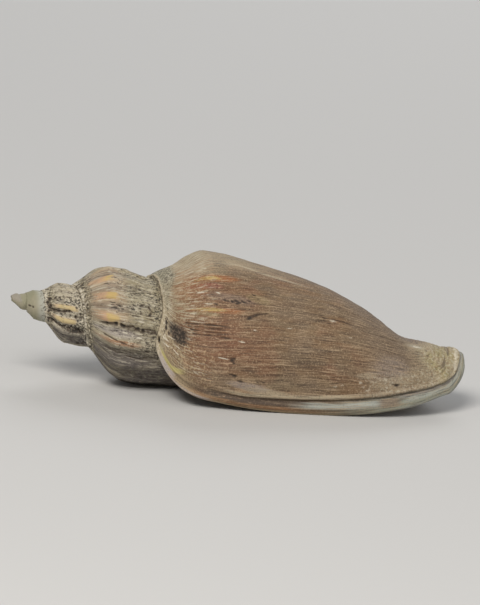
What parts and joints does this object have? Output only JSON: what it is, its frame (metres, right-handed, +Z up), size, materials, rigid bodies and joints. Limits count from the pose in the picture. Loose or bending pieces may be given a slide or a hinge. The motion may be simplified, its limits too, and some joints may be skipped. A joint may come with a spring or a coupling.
{
  "type": "fossil volute snail shell",
  "caption": "Spindle-shaped fossil sea snail shell lying on its long narrow opening, with a ribbed spire, a smooth tapering last whorl, a thin flared lip and an open front canal",
  "frame": {"origin": "middle of the bounding box in X and Y, at the resting plane", "axes": "+X from the pointed spire to the front canal, +Z up, the outer lip on the -Y side"},
  "size_m": [0.1198, 0.0442, 0.0367],
  "materials": {
    "shell": "matte, chalky, fine growth lines"
  },
  "bodies": {
    "root": {"shell": "shell"}
  },
  "joints": []
}
